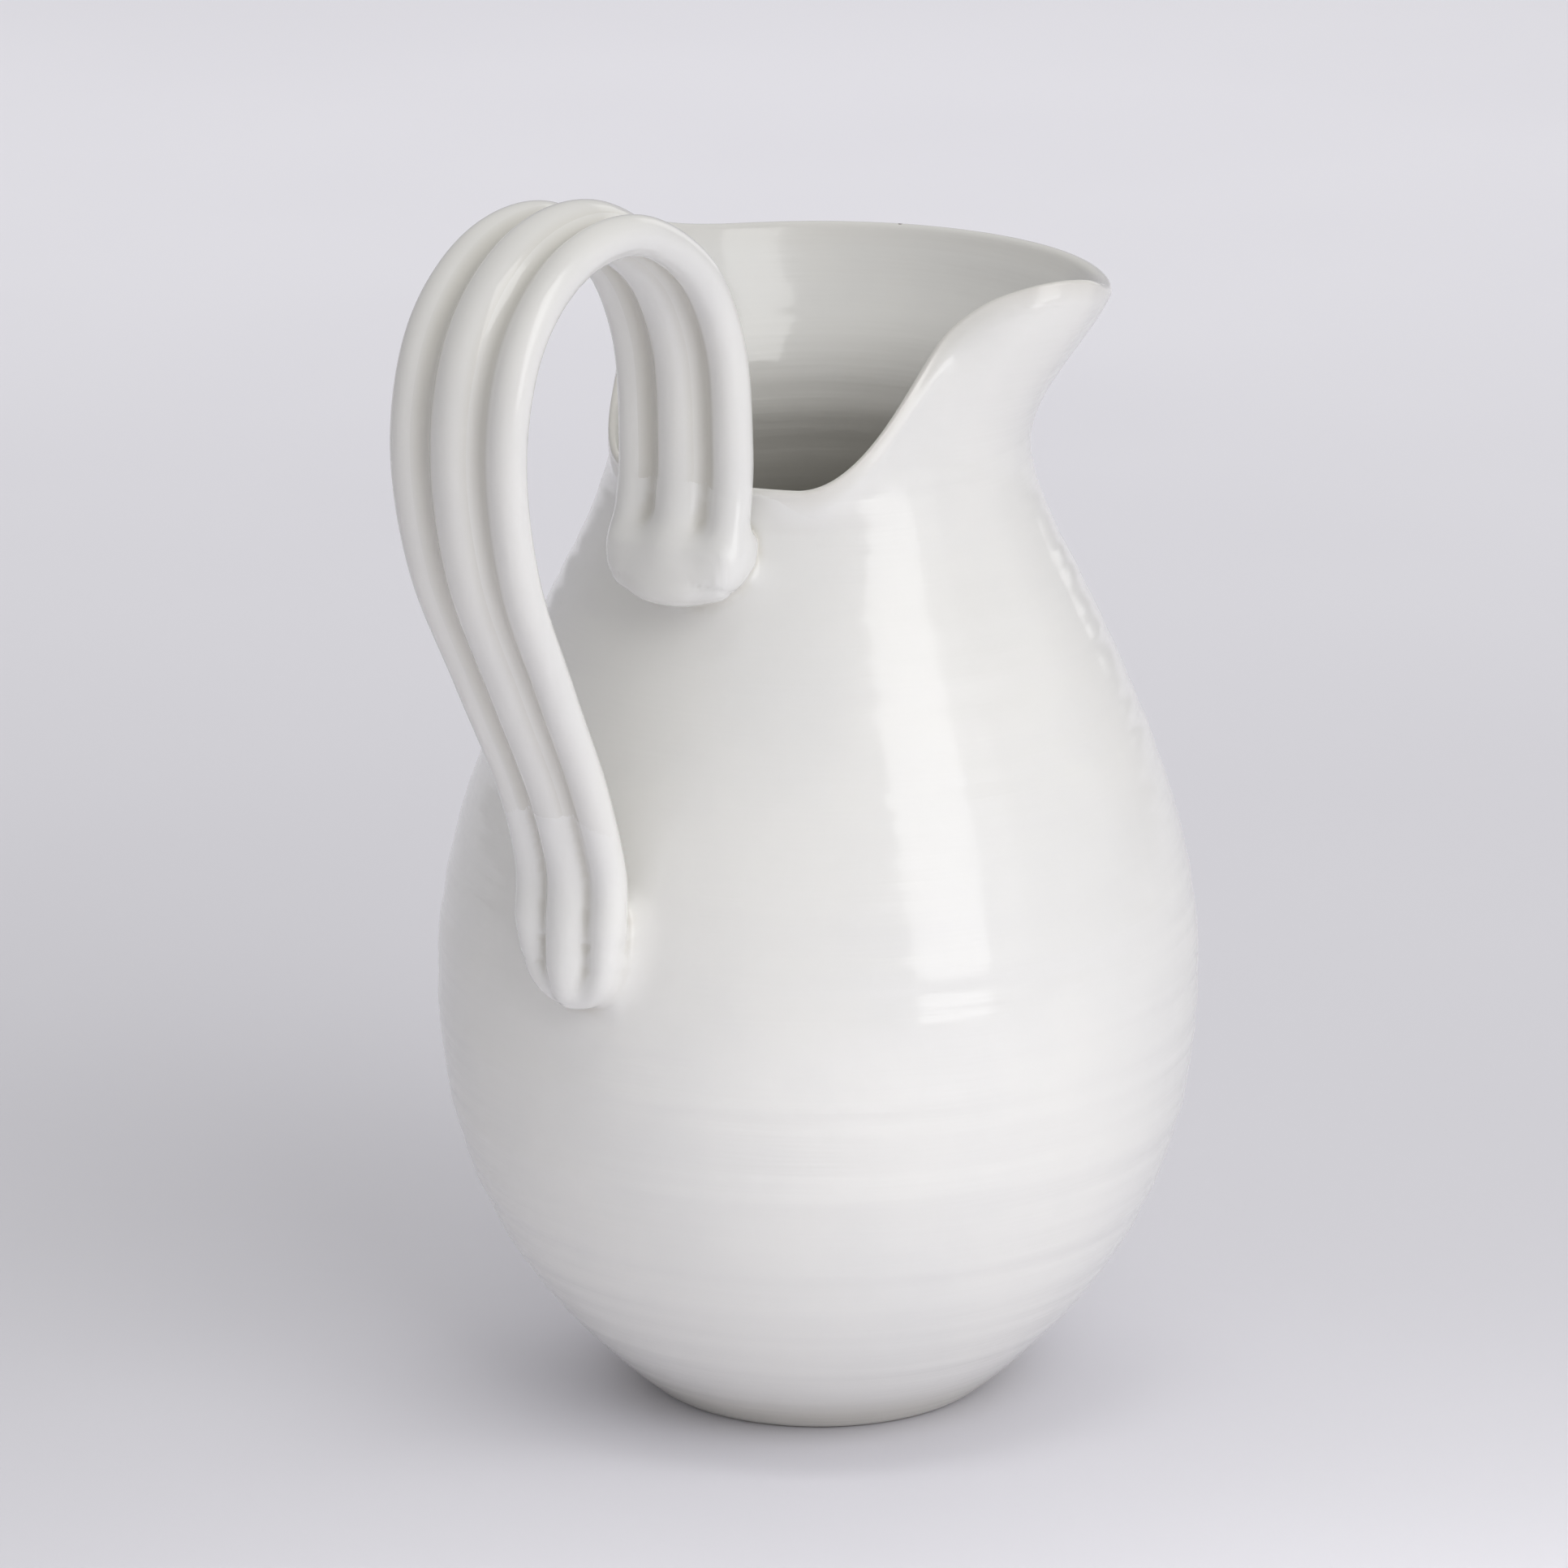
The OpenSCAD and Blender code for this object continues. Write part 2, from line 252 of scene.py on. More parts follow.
def relief(a, z, rings):
    """Rings and wobble together, gone at the foot and at the rim, and where the handle sits."""
    at_foot = ease((z - 3) / 12)
    at_rim = ease((rim_height(a) - z) / 9)
    at_handle = 1 - bell(from_spout(a), 180, 24) * ease((z - 95) / 12)
    return (ring_relief(a, z, rings) + wobble(a, z)) * at_foot * at_rim * at_handle


def wall_point(a, z, inset):
    """A point in the wall's radial plane as (radius, height), set in from the outside."""
    s = wall_slope(a, z)
    n = np.sqrt(1 + s * s)
    return np.stack([wall_radius(a, z) - inset / n, z + inset * s / n], -1)


def around(a, section):
    """Turns (radius, height) points at angles a into (x, y, z)."""
    r, z = section[..., 0], section[..., 1]
    return np.stack([r * np.cos(a), r * np.sin(a), z], -1)


# --- Handle -----------------------------------------------------------------------------

# Centre line of the handle as (x, z), from the neck over the crest and down to the belly
HANDLE = np.array([
    (-neck_radius - 12.7, neck_height - 19),
    (-neck_radius - 8.2, neck_height - 4),
    (-neck_radius - 7.2, neck_height + 10),
    (-neck_radius - 9.7, neck_height + 32),
    (-65, handle_top - 11),
    (-85, handle_top),
    (-106, handle_top - 2),
    (5 - handle_reach, handle_top - 15.5),
    (-handle_reach, 234),
    (6 - handle_reach, 207),
    (20.5 - handle_reach, 180),
    (-belly_radius - 10, belly_height + 62),
    (-belly_radius - 2.3, belly_height + 43),
    (-belly_radius - 2.4, belly_height + 29),
    (-belly_radius - 4, belly_height + 13),
])
# Places along the handle, from 0 at the neck to 1 at its foot: where it starts to lean, where it
# draws in low down and again at the tip, and where the side coils stop
lean_start = 0.35
low_start = 0.55
low_end = 0.84
tip_start = 0.92
side_reach = 0.965

# Sideways place of the handle at the neck and low down
top_lean = -1.5
low_lean = 5.2

# Part of their radius that the coils lose low down and again at the tip, and part of their
# distance that they keep at the tip
low_taper = 0.12
tip_taper = 0.12
tip_pitch = 0.85

# Length of a coil's rounded ends, as a part of the handle, and the squared part of its radius
# left on their tips
round_end = 0.045
blunt_tip = 0.001

# The clay between two coils: half its thickness, where it starts and stops along the handle, over
# what stretch it does so, how far it draws back there, and the rounding of the groove over it
web_half = 2.0
web_start = 0.012
web_reach = 0.955
web_blend = 0.02
web_retreat = 4
groove_blend = 1.6

# The handle's length, for turning places past a coil's end into millimetres
handle_run = 212.0


def handle_point(t):
    """Point of a smooth curve through the centre line, as (x, z), with t from 0 to 1."""
    t = np.asarray(t, float)
    last = len(HANDLE) - 1
    i = np.minimum(last - 1, np.floor(t * last)).astype(int)
    u = (t * last - i)[..., None]
    padded = np.vstack([2 * HANDLE[0] - HANDLE[1], HANDLE, 2 * HANDLE[-1] - HANDLE[-2]])
    p0, p1, p2, p3 = (padded[i + k] for k in range(4))
    return (
        2 * p1 + (p2 - p0) * u + (2 * p0 - 5 * p1 + 4 * p2 - p3) * u**2
        + (3 * p1 - p0 - 3 * p2 + p3) * u**3
    ) / 2


def handle_normal(t, step=0.004):
    """Outward direction across the centre line, as (x, z)."""
    d = handle_point(np.minimum(1, t + step)) - handle_point(np.maximum(0, t - step))
    return np.stack([d[..., 1], -d[..., 0]], -1) / np.linalg.norm(d, axis=-1, keepdims=True)


def lean(t):
    """Sideways place of the handle, which was set on slightly askew."""
    return lerp(top_lean, low_lean, np.clip((t - lean_start) / (low_end - lean_start), 0, 1))


def low_part(t):
    return ease((t - low_start) / (low_end - low_start))


def tip_part(t):
    return ease((t - tip_start) / (1 - tip_start))


def taper(t):
    return 1 - low_taper * low_part(t) - tip_taper * tip_part(t)


def pitch(t):
    low = lerp(coil_pitch, low_coil_pitch, low_part(t))
    return lerp(low, tip_pitch * low_coil_pitch, tip_part(t))


def coil_radius(t, side):
    """Radius of a coil at a place along the handle, uneven as a coil rolled by hand is."""
    uneven = waves(t, [(0.31, 0.012, 0.2 * side), (0.13, 0.008, 0.3 + 0.1 * side)])
    return (middle_radius if side == 0 else side_radius) * taper(t) * (1 + uneven)


def coil_reach(side):
    return 1.0 if side == 0 else side_reach


def end_round(t, side):
    """Rounding of a coil's two ends, where it was smoothed down onto the wall."""
    past = np.maximum(t - coil_reach(side) + round_end, round_end - t)
    u = np.clip(past / round_end, 0, 1)
    return np.sqrt(np.maximum(blunt_tip, 1 - u * u))


def beside(t, across, inward):
    """A point beside the centre line: across is sideways, inward towards the loop's middle."""
    p = handle_point(t) - np.asarray(inward)[..., None] * handle_normal(t)
    return np.stack([p[..., 0], lean(t) + across, p[..., 1]], -1)


# --- Distances to the clay, for the slip that blends one piece into the next ------------------

def vessel_distance(p):
    """Distance from the clay of the vessel and from its outer face alone."""
    a = np.arctan2(p[:, 1], p[:, 0])
    z = p[:, 2]
    s = wall_slope(a, z)
    outer = (np.hypot(p[:, 0], p[:, 1]) - wall_radius(a, z)) / np.sqrt(1 + s * s)
    outer = outer - relief(a, z, OUTER_RINGS) + bevel(a, z)
    half = (thickness(a, z) - bevel(a, z)) / 2
    above = np.maximum(0, z - (rim_height(a) - half))
    return np.hypot(outer + half, above) - half, outer


def section_distance(v, w, t, groove):
    """Distance from the three coils and the webs between them, across and inward of the line."""
    middle, left, right = (
        np.hypot(np.hypot(v - side * pitch(t), w), handle_run * np.maximum(0, t - coil_reach(side)))
        - coil_radius(t, side) * end_round(t, side)
        for side in (0, 1, -1)
    )
    joined = ease((t - web_start) / web_blend) * ease((web_reach - t) / web_blend)
    web = np.maximum(np.abs(w) - web_half * taper(t) * joined, np.abs(v) - pitch(t))
    web = web + web_retreat * (1 - joined)
    return smooth_min(smooth_min(smooth_min(middle, web, groove), left, groove), right, groove)


def in_chunks(points, most=20000):
    """Parts of a list of points that are small enough to hold against a whole line at once."""
    return np.array_split(points, len(points) // most + 1)


def leg_places(p, t0, t1, count=140):
    """Where points lie by a stretch of the handle: along it, across, inward, and past its end."""
    stretch = np.linspace(t0, t1, count)
    line = handle_point(stretch)
    flat = p[:, [0, 2]]
    nearest = np.concatenate([
        ((part[:, None] - line[None]) ** 2).sum(-1).argmin(1)
        for part in in_chunks(flat)
    ])
    t = stretch[nearest]
    off = flat - line[nearest]
    n = handle_normal(stretch)[nearest]
    along = np.abs(off[:, 0] * n[:, 1] - off[:, 1] * n[:, 0])
    past = np.where((nearest == 0) | (nearest == count - 1), along, 0)
    return t, p[:, 1] - lean(t), -(off * n).sum(1), past


def handle_distance(p, leg, groove_at):
    """Distance from a leg of the handle, with grooves that groove_at(t) rounds."""
    t, v, w, past = leg_places(p, *leg)
    body = section_distance(v, w, t, groove_at(t))
    return np.hypot(np.maximum(body, 0), past) + np.minimum(body, 0)


def lump_distance(outer, across, up, lump):
    """Distance from an oval lump, by how far a point is out of the wall and beside its middle."""
    out, sizes, fullness = lump
    places = zip((outer - out, across, up), sizes)
    q = sum(np.abs(place / size) ** fullness for place, size in places) ** (1 / fullness)
    return (q - 1) * min(sizes)


def oval(y, z, middle, reach):
    """Place from an oval's middle, 1 on its edge, and a fade from 1 inside to 0 on the edge."""
    up = z - middle[1]
    v = np.where(up < 0, up / reach[1], up / reach[2])
    q = np.sqrt(((y - middle[0]) / reach[0]) ** 2 + v * v)
    return q, ease((1 - q) / edge_fade)


# The slip's skin stands a hair proud of what it covers and dives under it at its edge, which
# fades over a part of the oval and is cut off steeply past it
skin_proud = 0.08
skin_dive = 0.15
skin_depth = 1.2
edge_fade = 0.28
edge_steepness = 12


def trimmed(blend, outer, q, inside):
    """Keeps a blended surface to its oval and to a shallow skin over the wall."""
    surface = blend - skin_proud + skin_dive * (1 - inside)
    return np.maximum(np.maximum(surface, -(outer + skin_depth)), (q - 1) * edge_steepness)


# Each joint: the stretch of the handle it covers, the middle of its oval on the wall as (y, z),
# the oval's reach (side, down, up), and the box its skin is sought in, from corner to corner
UPPER_LEG = (0, 0.2)
upper_middle = (top_lean, neck_height - 12)
upper_reach = (28, 26, 17)
UPPER_BOX = ((-66, -34, 172), (-31, 31, 219))
LOWER_LEG = (0.8, 1)
lower_middle = (low_lean, belly_height + 28)
lower_reach = (30, 34, 33)
LOWER_BOX = ((-102, -26, 86), (-62, 37, 157))

# Lumps that fill the joints: how far out of the wall, half sizes (out, side, up) and fullness
UPPER_CORE = (2.0, (6.5, 11.5, 10.0), 2.4)
UPPER_PAD = (6.4, (6.6, 14.4, 10.8), 2.5)
LOWER_PAD = (0.0, (6.4, 10.0, 10.5), 2.0)

# The welt round the handle's foot: half width and half height of its loop, its middle above the
# belly's widest part, and its radius
welt_side = 9.0
welt_drop = 8.8
welt_rise = 23
welt_radius = 2.9

# Rounding between a joint and the wall at the edge of its oval
least_fillet = 0.3


def upper_slip(p):
    """The pad on the neck: the coils' ends smoothed together into one rounded tongue."""
    wall, outer = vessel_distance(p)
    grip = handle_distance(
        p, UPPER_LEG, lambda t: lerp(7.0, groove_blend, ease((t - 0.008) / 0.05))
    )
    up = p[:, 2] - upper_middle[1]
    up = np.where(up > 0, 2.2 * up, up)
    across = p[:, 1] - upper_middle[0]
    core = lump_distance(outer, across, up, UPPER_CORE)
    pad = smooth_min(lump_distance(outer, across, up, UPPER_PAD), core, 4.0)
    grip = smooth_min(grip, pad, 5.0)
    q, inside = oval(p[:, 1], p[:, 2], upper_middle, upper_reach)
    fillet = least_fillet + 4.0 * inside * ease((neck_height - 11 - p[:, 2]) / 8)
    return trimmed(smooth_min(grip, wall, fillet), outer, q, inside)


def welt_line(count=60):
    """Line of the raised welt round the handle's foot, from one side coil round to the other."""
    turn = np.linspace(math.pi, 2 * math.pi, count)
    y = lower_middle[0] + welt_side * np.cos(turn)
    z = belly_height + welt_rise + welt_drop * np.sin(turn)
    r = wall_radius(math.pi, z) + lerp(2.5, 5.0, np.cos(turn) ** 2)
    return np.stack([-np.sqrt(r * r - y * y), y, z], -1)


def lower_slip(p):
    """The joint on the belly: a tongue with a raised welt round its foot."""
    wall, outer = vessel_distance(p)
    grip = handle_distance(
        p, LOWER_LEG, lambda t: lerp(groove_blend, 3.0, ease((t - 0.95) / 0.05))
    )
    line = welt_line()
    welt = np.concatenate([
        np.sqrt(((part[:, None] - line[None]) ** 2).sum(-1).min(1)) for part in in_chunks(p)
    ]) - welt_radius
    up = p[:, 2] - (lower_middle[1] - 3)
    pad = lump_distance(outer, p[:, 1] - lower_middle[0], up, LOWER_PAD)
    grip = smooth_min(smooth_min(grip, welt, 3.0), pad, 3.0)
    near_side = ease((lower_middle[0] - 2 - p[:, 1]) / 9) * ease((138 - p[:, 2]) / 12)
    q, inside = oval(p[:, 1], p[:, 2], lower_middle, lower_reach)
    fillet = least_fillet + lerp(1.6, 5.6, near_side) * inside
    return trimmed(smooth_min(grip, wall, fillet), outer, q, inside)


# --- Meshes -----------------------------------------------------------------------------

def settle(points, distance, rounds=4, step=0.04, most=0.4):
    """Moves points onto the surface where the distance is nothing, each round by most at most."""
    for _ in range(rounds):
        here = distance(points)
        slope = np.stack(
            [(distance(points + step * np.eye(3)[k]) - here) / step for k in range(3)], -1
        )
        size = np.maximum((slope**2).sum(-1, keepdims=True), 0.2)
        points = points - np.clip(here[:, None] / size, -most, most) * slope
    return points


def neighbours_mean(points, faces):
    """For each point, the mean of the points it shares an edge with."""
    total = np.zeros_like(points)
    count = np.zeros(len(points))
    for k in range(4):
        a, b = faces[:, k], faces[:, (k + 1) % 4]
        np.add.at(total, a, points[b])
        np.add.at(total, b, points[a])
        np.add.at(count, a, 1)
        np.add.at(count, b, 1)
    return total / np.maximum(count, 1)[:, None]


def skin_of(distance, low, high, step):
    """Closed mesh of four-sided faces over the space where the distance is negative."""
    axes = [np.arange(a, b + step, step) for a, b in zip(low, high)]
    grid = np.stack(np.meshgrid(*axes, indexing="ij"), -1)
    inside = (distance(grid.reshape(-1, 3)) < 0).reshape(grid.shape[:3])
    filled = sum(
        inside[i:i - 1 or None, j:j - 1 or None, k:k - 1 or None].astype(int)
        for i in (0, 1) for j in (0, 1) for k in (0, 1)
    )
    mixed = (filled > 0) & (filled < 8)
    index = np.full(mixed.shape, -1)
    index[mixed] = np.arange(mixed.sum())
    points = np.array(low) + (np.argwhere(mixed) + 0.5) * step
    faces = []
    for axis in range(3):
        solid = np.moveaxis(inside, axis, 0)
        cell = np.moveaxis(index, axis, 0)
        i, j, k = np.nonzero((solid[:-1] != solid[1:])[:, 1:-1, 1:-1])
        quad = np.stack([cell[i, j, k], cell[i, j + 1, k], cell[i, j + 1, k + 1], cell[i, j, k + 1]], -1)
        outward = solid[:-1][i, j + 1, k + 1] ^ (axis == 1)
        faces.append(np.where(outward[:, None], quad, quad[:, ::-1]))
    faces = np.concatenate(faces)
    points = settle(points, distance)
    for _ in range(3):
        points = settle(lerp(points, neighbours_mean(points, faces), 0.5), distance, rounds=2)
    return points, faces


def grid_faces(rows, columns, start=0):
    """Faces of a grid that closes on itself along its columns."""
    i, j = np.meshgrid(np.arange(rows - 1), np.arange(columns), indexing="ij")
    a = start + i * columns + j
    b = start + i * columns + (j + 1) % columns
    return np.stack([a, b, b + columns, a + columns], -1).reshape(-1, 4)


def make_piece(name, points, faces, materials, node, face_slots=None, marks=None):
    """Makes a piece from points in millimetres, in place of a CAD node.

    face_slots gives each face a material; marks are values at each point that the materials read:
    thin glaze, with painted shade on the cut rim, and deep glaze, with painted shade in hollows."""
    mesh = bpy.data.meshes.new(name)
    mesh.from_pydata((np.asarray(points) * MM).tolist(), [], [tuple(f) for f in faces])
    for material in materials:
        mesh.materials.append(material)
    if face_slots is not None:
        mesh.polygons.foreach_set("material_index", np.asarray(face_slots, np.int32))
    for label, values in (marks or {}).items():
        layer = mesh.attributes.new(label, "FLOAT", "POINT")
        layer.data.foreach_set("value", np.asarray(values, np.float32))
    mesh.polygons.foreach_set("use_smooth", np.ones(len(mesh.polygons), bool))
    mesh.validate()
    mesh.update()
    piece = bpy.data.objects.new(name, mesh)
    bpy.context.scene.collection.objects.link(piece)
    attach(piece, "root")
    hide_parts(node)
    return piece


# --- Vessel -----------------------------------------------------------------------------

around_count = 336
wall_rows = 200
inner_rows = 92
collar_rows = 34
cap_rows = 13
floor_rows = 22
floor_height = foot_recess + floor_thickness
cove_top = floor_height + 6
ring_inside = foot_radius - foot_bevel - foot_ring
collar_top = 1.6

# Underside: radii of the rows in the recess, and the profile of the bare ring as (radius, height)
RECESS = (1.5, 6, 11, 16, 21, 26, 29.5)
RECESS_EDGE = [(ring_inside - 0.9, foot_recess), (ring_inside - 0.3, 1.35)]
BARE_RING = [
    (ring_inside, 0.75), (ring_inside + 0.12, 0.3), (ring_inside + 0.5, 0.0),
    (foot_radius - 1.6, 0.0), (foot_radius - 0.75, 0.0), (foot_radius - 0.25, 0.14),
]


def vessel_rows(a):
    """Rows of (radius, height) round the vessel with a mark each: 0 glazed, 1 bare clay."""
    here = np.ones_like(a)

    def level(radius, z):
        return np.stack([radius * here, z * here], -1)

    rows = [(level(r, foot_recess + 0.12 * math.sin(r * 0.9)), 0) for r in RECESS]
    rows += [(level(*place), 0) for place in RECESS_EDGE]
    rows += [(level(*place), 1) for place in BARE_RING]
    # Up the outside and over the rim
    for z in np.linspace(foot_bevel, collar_base, wall_rows):
        rows.append((wall_point(a, z * here, -relief(a, z, OUTER_RINGS)), 0))
    for u in np.linspace(0, 1, collar_rows)[1:-1]:
        z = lerp(collar_base, rim_height(a) - collar_top, u)
        rows.append((wall_point(a, z, bevel(a, z) - relief(a, z, OUTER_RINGS)), 0))
    z = rim_height(a) - thickness(a, rim_height(a)) / 2
    half = (thickness(a, z) - bevel(a, z)) / 2
    s = wall_slope(a, z)
    n = np.sqrt(1 + s * s)
    middle = wall_point(a, z, bevel(a, z) + half)
    for turn in np.linspace(0, math.pi, cap_rows):
        way = np.stack([math.cos(turn) + s * math.sin(turn), math.sin(turn) - s * math.cos(turn)], -1)
        rows.append((middle + half[:, None] * way / n[:, None], 0))
    # Down the inside, and in over the cove and the floor
    for u in np.linspace(1, 0, collar_rows)[1:-1]:
        z = lerp(collar_base, rim_height(a) - collar_top, u)
        rows.append((wall_point(a, z, thickness(a, z) + relief(a, z, INNER_RINGS)), 0))
    for z in np.linspace(collar_base, cove_top, inner_rows):
        rows.append((wall_point(a, z * here, thickness(a, z) + relief(a, z, INNER_RINGS)), 0))
    edge = rows[-1][0][:, 0]
    low = rows[-1][0][:, 1]
    for u in np.linspace(1, 0.03, floor_rows)[1:]:
        swirl = 0.22 * math.sin(u * 5 * math.pi) * u * (1 - u) * 4
        height = lerp(floor_height, low, u**5.5) + swirl * np.cos(0.5 * (a - math.pi * u)) ** 2
        rows.append((np.stack([edge * u, height], -1), 0))
    return rows


def build_vessel(materials):
    """The vessel, of the glaze and the bare clay."""
    a = np.arange(around_count) * 2 * math.pi / around_count
    rows = vessel_rows(a)
    points = np.concatenate([around(a, row) for row, _ in rows])
    faces = grid_faces(len(rows), around_count)
    bare = np.array([mark for _, mark in rows])
    slots = np.repeat(np.minimum(bare[:-1], bare[1:]), around_count)
    last = len(points)
    points = np.vstack([points, [(0, 0, foot_recess + 0.1)], [(0, 0, floor_height)]])
    top = last - around_count
    pairs = [(j, (j + 1) % around_count) for j in range(around_count)]
    fans = [(last, k, j) for j, k in pairs]
    fans += [(last + 1, top + j, top + k) for j, k in pairs]
    all_faces = faces.tolist() + fans
    slots = np.concatenate([slots, np.zeros(len(fans))])
    # The glaze is thin along the cut rim, with painted shade on its bevel, and deeper by the foot and
    # down inside, with painted shade there too
    angle = np.arctan2(points[:, 1], points[:, 0])
    down = rim_height(angle) - points[:, 2]
    near_rim = ease(1 - down / 5.5) * (0.35 + 0.65 * rim_cut(angle))
    depth = ease((down - 12) / 50)
    within = np.hypot(points[:, 0], points[:, 1]) < wall_radius(angle, points[:, 2]) - 2
    deep_glaze_and_shade = np.maximum(bell(points[:, 2], 3, 6), within * depth)
    make_piece(
        "vessel_body", points, all_faces, materials, "vessel", slots,
        {"worn_and_shade": near_rim, "pool_and_shade": deep_glaze_and_shade},
    )


# --- Coils, seams and joints --------------------------------------------------------------

coil_sides = 44
coil_rings = 300
end_rings = 8


def build_coil(name, side, node, material):
    """One coil of the handle: side is 0 for the middle, 1 for the left and -1 for the right."""
    reach = coil_reach(side)
    ends = round_end * (1 - np.cos(np.linspace(0, math.pi / 2, end_rings + 1)[:-1]))
    even = np.linspace(round_end, reach - round_end, coil_rings)
    t = np.concatenate([ends, even, reach - ends[::-1]])
    turn = np.arange(coil_sides) * 2 * math.pi / coil_sides
    radius = coil_radius(t, side) * end_round(t, side)
    rings = [
        beside(np.full(coil_sides, tt), side * pitch(tt) + r * np.sin(turn), r * np.cos(turn))
        for tt, r in zip(t, radius)
    ]
    points = np.concatenate(rings)
    faces = grid_faces(len(t), coil_sides).tolist()
    last = len(points) - coil_sides
    faces += [list(range(coil_sides))[::-1], list(range(last, last + coil_sides))]
    # The crest is marked as worn thin glaze, the side towards a groove as deep glaze with painted shade
    crest = np.tile(np.maximum(0, -np.cos(turn)), len(t))
    towards_groove = np.abs(np.sin(turn)) if side == 0 else -side * np.sin(turn)
    valley = np.tile(ease((towards_groove - 0.45) / 0.5), len(t))
    make_piece(
        name, points, faces, [material], node,
        marks={"worn_and_shade": 0.35 * crest, "pool_and_shade": 0.8 * valley},
    )


seam_columns = 13
seam_rings = 300
seam_start = 0.02
seam_reach = 0.935


def build_seam(name, side, node, material):
    """The slip in the valley on one side of the middle coil, its two faces hollowed."""
    t = np.linspace(seam_start, seam_reach, seam_rings)[:, None]
    start = 0.7 * coil_radius(t, 0)
    stop = pitch(t) - 0.4 * coil_radius(t, side)
    part = np.linspace(0, 1, seam_columns)[None]
    v = side * lerp(start, stop, part)
    tt = np.broadcast_to(t, v.shape)
    # The face is found by halving the way out from the middle of the valley
    near, far = np.zeros_like(v), np.full_like(v, middle_radius * 1.1)
    for _ in range(30):
        mid = (near + far) / 2
        outside = section_distance(v, mid, tt, groove_blend) > 0
        far, near = np.where(outside, mid, far), np.where(outside, near, mid)
    # Its long edges and its two ends sink under the coils and the joints
    hidden = 1 - ease((t - 0.03) / 0.03) * ease((0.93 - t) / 0.03)
    lift = 0.02 - 0.09 * (np.abs(2 * part - 1) ** 6) - 0.12 * hidden
    w = near + lift
    points = []
    for row in range(seam_rings):
        place = np.full(2 * seam_columns, t[row, 0])
        across = np.concatenate([v[row], v[row, ::-1]])
        inward = np.concatenate([-w[row], w[row, ::-1]])
        points.append(beside(place, across, inward))
    columns = 2 * seam_columns
    faces = grid_faces(seam_rings, columns)
    last = (seam_rings - 1) * columns
    caps = [list(range(columns))[::-1], list(range(last, last + columns))]
    if side > 0:
        faces = faces[:, ::-1]
        caps = [cap[::-1] for cap in caps]
    # Deep glaze with painted shade, darkest along the middle of the valley
    depth = np.tile(np.sin(np.linspace(0, math.pi, seam_columns)), 2 * seam_rings)
    make_piece(
        name, np.concatenate(points), faces.tolist() + caps, [material], node,
        marks={"pool_and_shade": depth},
    )


joint_step = 0.7
pool_and_shade_hollow = 0.35


def build_joint(name, distance, box, node, material):
    """A joint of slip, as the skin of a blended distance. Its hollows, which lie under the smoothed
    skin, get deep glaze with painted shade."""
    points, faces = skin_of(distance, *box, joint_step)
    steps = 0.1 * np.eye(3)
    slope = np.stack([distance(points + step) - distance(points - step) for step in steps], -1)
    slope /= np.maximum(np.linalg.norm(slope, axis=-1, keepdims=True), 1e-9)
    smoothed = points
    for _ in range(6):
        smoothed = neighbours_mean(smoothed, faces)
    hollow = ((smoothed - points) * slope).sum(-1)
    make_piece(
        name, points, faces.tolist(), [material], node,
        marks={"pool_and_shade": ease(hollow / pool_and_shade_hollow)},
    )


# --- Materials --------------------------------------------------------------------------

def new_material(name):
    """A material with an empty Principled shader, its node tree and that shader."""
    material = bpy.data.materials.new(name)
    material.use_nodes = True
    tree = material.node_tree
    return material, tree, tree.nodes["Principled BSDF"]


def add(tree, kind, inputs=None, **settings):
    """Adds a node, with values or links for its inputs by name or number."""
    node = tree.nodes.new(kind)
    for key, value in settings.items():
        setattr(node, key, value)
    for key, value in (inputs or {}).items():
        if isinstance(value, bpy.types.NodeSocket):
            tree.links.new(value, node.inputs[key])
        else:
            node.inputs[key].default_value = value
    return node


def noise(tree, place, scale, detail=3.0, roughness=0.5):
    """Noise at a place, with scale in waves a metre."""
    return add(
        tree, "ShaderNodeTexNoise",
        {"Vector": place, "Scale": scale, "Detail": detail, "Roughness": roughness},
    ).outputs["Fac"]


def remap(tree, value, low, high, to_low=0.0, to_high=1.0):
    """Stretches the part of a value between low and high over to_low..to_high, smoothly."""
    node = add(
        tree, "ShaderNodeMapRange",
        {"Value": value, "From Min": low, "From Max": high, "To Min": to_low, "To Max": to_high},
        interpolation_type="SMOOTHSTEP",
    )
    return node.outputs["Result"]


def tint(tree, amount, base, colour):
    """Mixes a colour over base by an amount."""
    node = add(tree, "ShaderNodeMix", {"Factor": amount}, data_type="RGBA")
    for socket, value in ((node.inputs[6], base), (node.inputs[7], colour)):
        if isinstance(value, bpy.types.NodeSocket):
            tree.links.new(value, socket)
        else:
            socket.default_value = (*value, 1)
    return node.outputs[2]


def bumped(tree, height, strength, distance, under=None):
    """A normal bumped by a height, over another one if it is given."""
    inputs = {"Height": height, "Strength": strength, "Distance": distance}
    if under is not None:
        inputs["Normal"] = under
    return add(tree, "ShaderNodeBump", inputs).outputs["Normal"]


def mark(tree, name):
    """Value that a piece's points carry under a name."""
    node = add(tree, "ShaderNodeAttribute", attribute_name=name, attribute_type="GEOMETRY")
    return node.outputs["Fac"]


def times(tree, a, b):
    return add(tree, "ShaderNodeMath", {0: a, 1: b}, operation="MULTIPLY").outputs[0]


GLAZE = (0.82, 0.812, 0.787)
# Thin glaze, also used as painted shade on the cut rim's bevel
GLAZE_THIN_SHADE = (0.70, 0.68, 0.635)
